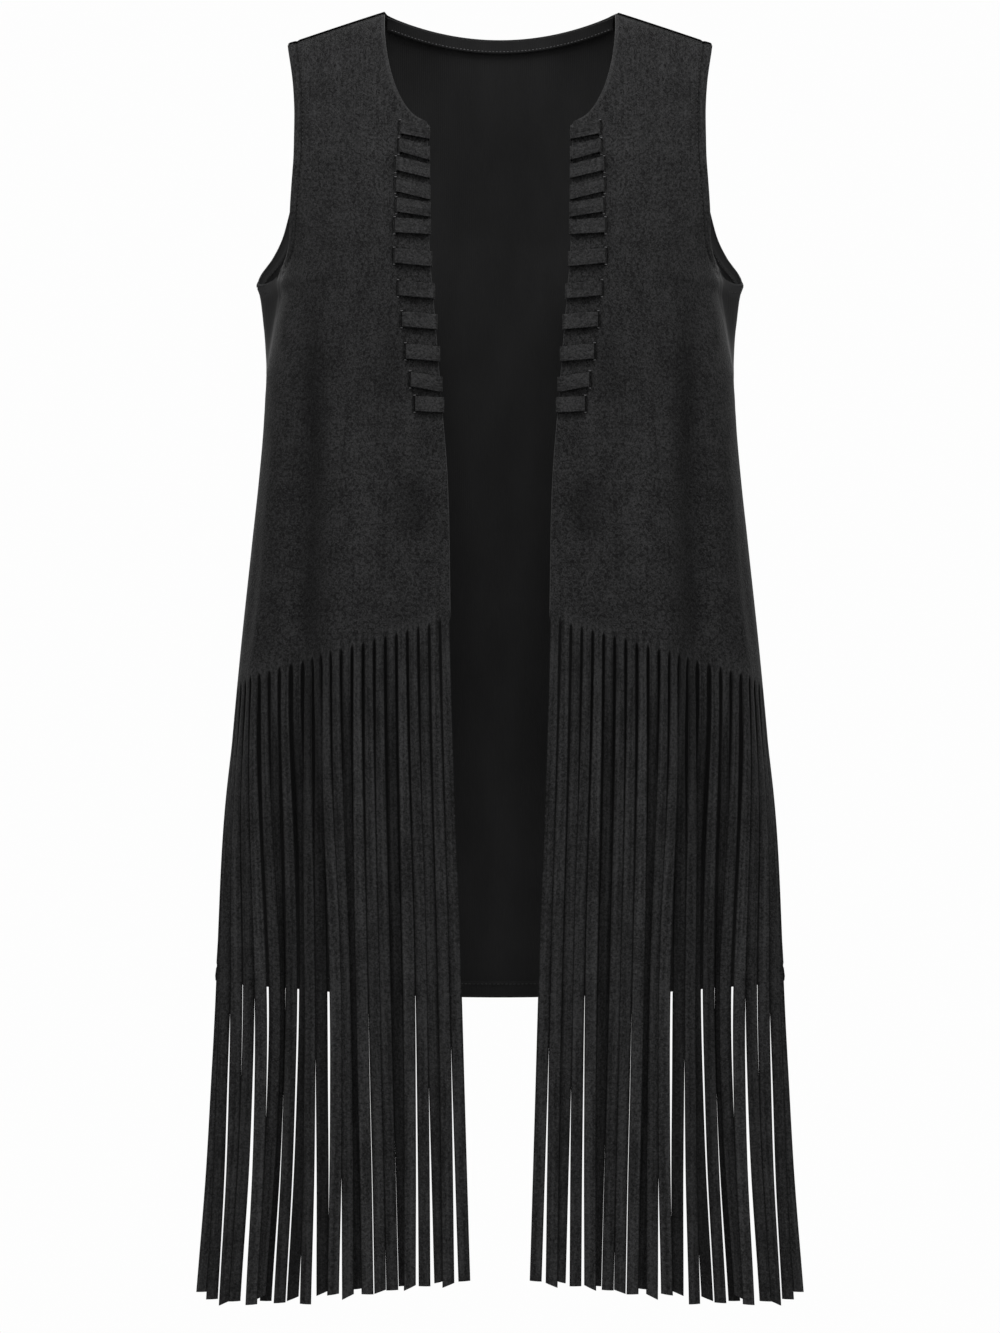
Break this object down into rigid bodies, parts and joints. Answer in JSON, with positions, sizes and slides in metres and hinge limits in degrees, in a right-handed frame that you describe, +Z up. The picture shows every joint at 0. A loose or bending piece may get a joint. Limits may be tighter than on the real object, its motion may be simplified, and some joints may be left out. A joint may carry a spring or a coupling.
{
  "type": "fringed vest",
  "caption": "Long open-front sleeveless vest with suede fronts, a strap laced along each front edge, a cut fringe hanging from the fronts and a plain knit back.",
  "frame": {"origin": "midway between the two shoulder seams, at the height of their middles, where the wearer's shoulders carry the vest", "axes": "+X to the wearer's left, -Y to the front, +Z up"},
  "size_m": [0.4924, 0.159, 1.0447],
  "materials": {
    "suede": "napped suede cloth, dry and mottled",
    "fringe_suede": "napped suede cloth with raw cut edges",
    "strap": "napped suede strap",
    "knit": "smooth matt knit",
    "facing": "smooth matt knit"
  },
  "bodies": {
    "root": {"back": "knit", "neck_facing": "facing", "front_left": "suede", "front_right": "suede", "fringe_left": "fringe_suede", "fringe_right": "fringe_suede", "lacing_left": "strap", "lacing_right": "strap"}
  },
  "joints": []
}
